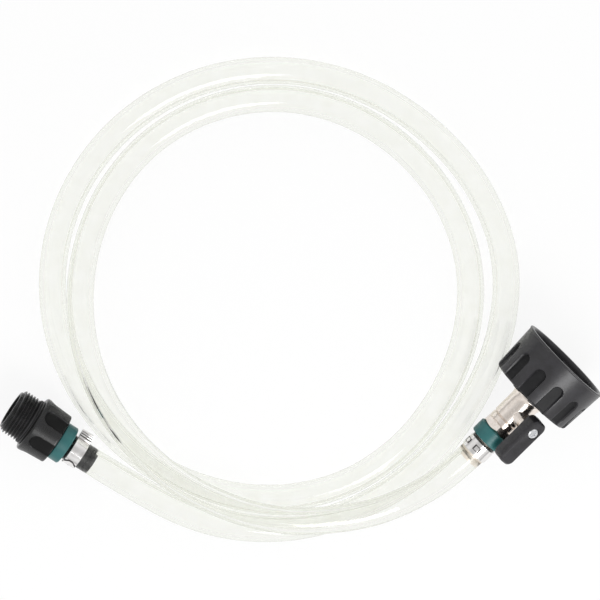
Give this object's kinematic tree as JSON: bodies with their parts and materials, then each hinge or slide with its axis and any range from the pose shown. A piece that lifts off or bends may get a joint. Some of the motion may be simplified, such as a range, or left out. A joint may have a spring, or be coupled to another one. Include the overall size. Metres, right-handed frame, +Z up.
{
  "type": "gravity transfer hose with tap",
  "caption": "Coiled clear transfer hose with a swivelling threaded union coupling on one end and a lever ball tap with a coarse-thread tank cap on the other.",
  "frame": {"origin": "on the ground, at the middle of the box round the two fittings, the hose left out", "axes": "+Z up, +X from the union coupling towards the tap, +Y towards the middle of the hose's coil"},
  "size_m": [0.4188, 0.3409, 0.0704],
  "materials": {
    "clear_hose": "clear soft plastic, glossy",
    "black_plastic": "moulded, satin",
    "teal_plastic": "moulded, satin",
    "nickel_brass": "nickel plated, polished",
    "stainless": "bright rolled strip",
    "zinc_steel": "zinc plated",
    "ptfe": "smooth white",
    "seal_rubber": "moulded"
  },
  "bodies": {
    "hose_and_tap": {"hose": "clear_hose", "coupling_tail": "black_plastic", "coupling_ring": "teal_plastic", "coupling_clamp": "stainless", "tap_tail": "nickel_brass", "tap_ring": "teal_plastic", "tap_clamp": "stainless", "tail_seal": "seal_rubber", "tap_end_piece": "nickel_brass", "tap_body": "nickel_brass", "hose_side_seat": "ptfe", "tank_side_seat": "ptfe", "stem_washer": "ptfe", "neck_seal": "seal_rubber", "tank_cap": "black_plastic", "tank_gasket": "seal_rubber"},
    "union_swivel": {"union_nut": "black_plastic", "union_gasket": "seal_rubber", "nipple": "black_plastic", "nipple_seal": "seal_rubber"},
    "tap_handle": {"tap_lever": "black_plastic", "lever_screw": "zinc_steel", "tap_stem": "nickel_brass", "stem_seals": "seal_rubber", "tap_ball": "nickel_brass"}
  },
  "joints": [
    {"name": "lever_turn", "type": "hinge", "parent": "hose_and_tap", "child": "tap_handle", "pos_m": [0.14961, -0.00949, 0.03003], "axis": [-0.4091, 0.5372, -0.7376], "range_deg": [0, 90]},
    {"name": "union_turn", "type": "hinge", "parent": "hose_and_tap", "child": "union_swivel", "pos_m": [-0.17557, -0.02527, 0.02019], "axis": [-0.8258, 0.5466, 0.1392], "continuous": true}
  ]
}
